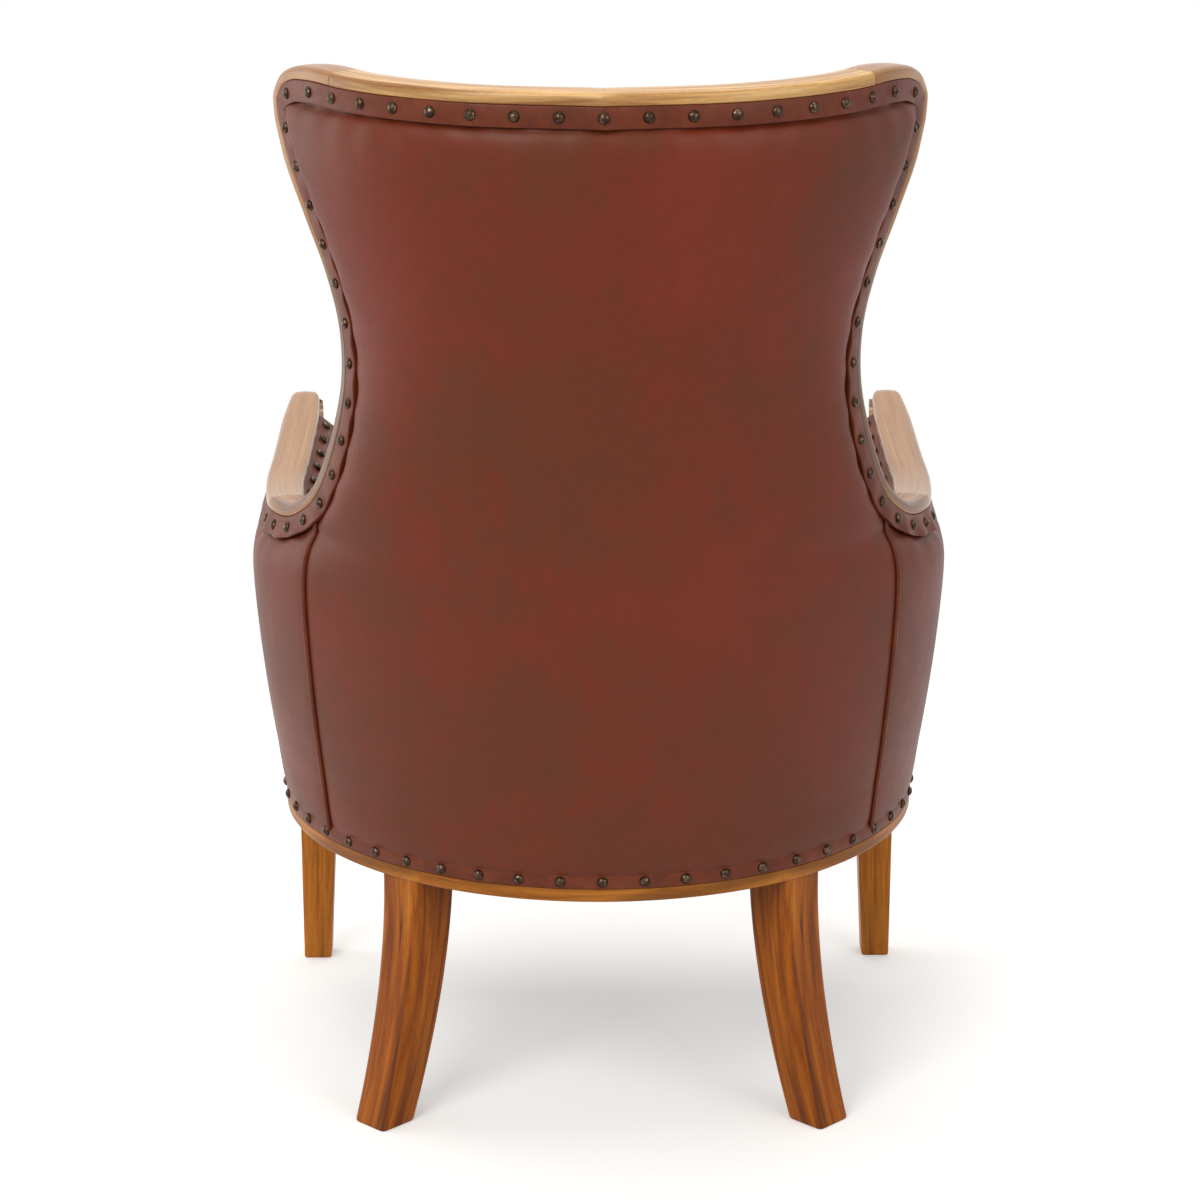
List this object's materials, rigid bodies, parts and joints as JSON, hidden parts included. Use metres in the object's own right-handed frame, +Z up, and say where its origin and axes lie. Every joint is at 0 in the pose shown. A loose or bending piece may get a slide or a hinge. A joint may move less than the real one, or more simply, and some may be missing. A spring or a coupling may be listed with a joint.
{
  "type": "armchair",
  "caption": "Barrel-back leather armchair with a teak show-wood crest and arms, nailed leather bands, sabre rear legs and a loose seat cushion.",
  "frame": {"origin": "on the floor under the middle of the chair's bounding box", "axes": "+Z up, the chair faces -Y, +X is the sitter's left"},
  "size_m": [0.6762, 0.6194, 1.0136],
  "materials": {
    "teak": "oiled teak with a satin lacquer, straight dark streaks",
    "frame_beech": "planed, unfinished beech",
    "dowel_beech": "turned beech",
    "board_ply": "thin bent plywood",
    "leather": "aniline cowhide, red-brown with darker and redder patches",
    "trim_leather": "folded cowhide strip, a little darker",
    "nail_bronze": "antique bronze, dark with rubbed highlights",
    "screw_steel": "zinc plated steel",
    "webbing": "woven jute webbing",
    "deck_cloth": "brown decking cloth over a firm pad",
    "dust_cloth": "black spunbonded cloth",
    "foam": "upholstery foam"
  },
  "bodies": {
    "frame": {"base_band": "trim_leather", "base_nails": "nail_bronze", "block_screws": "screw_steel", "crest_inner_band": "trim_leather", "crest_inner_nails": "nail_bronze", "crest_outer_band": "trim_leather", "crest_outer_nails": "nail_bronze", "crest_rail": "teak", "cross_straps": "webbing", "dust_cover": "dust_cloth", "frame_dowels": "dowel_beech", "front_base_band": "trim_leather", "front_border": "leather", "front_nails": "nail_bronze", "front_seat_rail": "teak", "inside_back_foam": "foam", "inside_back_leather": "leather", "left_arm": "teak", "left_arm_foam": "foam", "left_arm_leather": "leather", "left_back_post": "frame_beech", "left_corner_block": "frame_beech", "left_front_leg": "teak", "left_inner_band": "trim_leather", "left_inner_nails": "nail_bronze", "left_outer_band": "trim_leather", "left_outer_nails": "nail_bronze", "left_outside_arm": "leather", "left_rear_leg": "teak", "left_seat_rail": "teak", "left_stile": "teak", "left_stuffing_rail": "frame_beech", "left_welt": "trim_leather", "long_straps": "webbing", "lumbar_rail": "frame_beech", "outside_back": "leather", "outside_back_board": "board_ply", "rear_seat_rail": "teak", "right_arm": "teak", "right_arm_foam": "foam", "right_arm_leather": "leather", "right_back_post": "frame_beech", "right_corner_block": "frame_beech", "right_front_leg": "teak", "right_inner_band": "trim_leather", "right_inner_nails": "nail_bronze", "right_outer_band": "trim_leather", "right_outer_nails": "nail_bronze", "right_outside_arm": "leather", "right_rear_leg": "teak", "right_seat_rail": "teak", "right_stile": "teak", "right_stuffing_rail": "frame_beech", "right_welt": "trim_leather", "seat_deck": "deck_cloth"},
    "seat_cushion": {"cushion_cover": "leather", "cushion_core": "foam", "cushion_piping": "trim_leather"}
  },
  "joints": [
    {"name": "cushion_lift", "type": "slide", "parent": "frame", "child": "seat_cushion", "axis": [0, 0, 1], "range_m": [0, 0.3]}
  ]
}
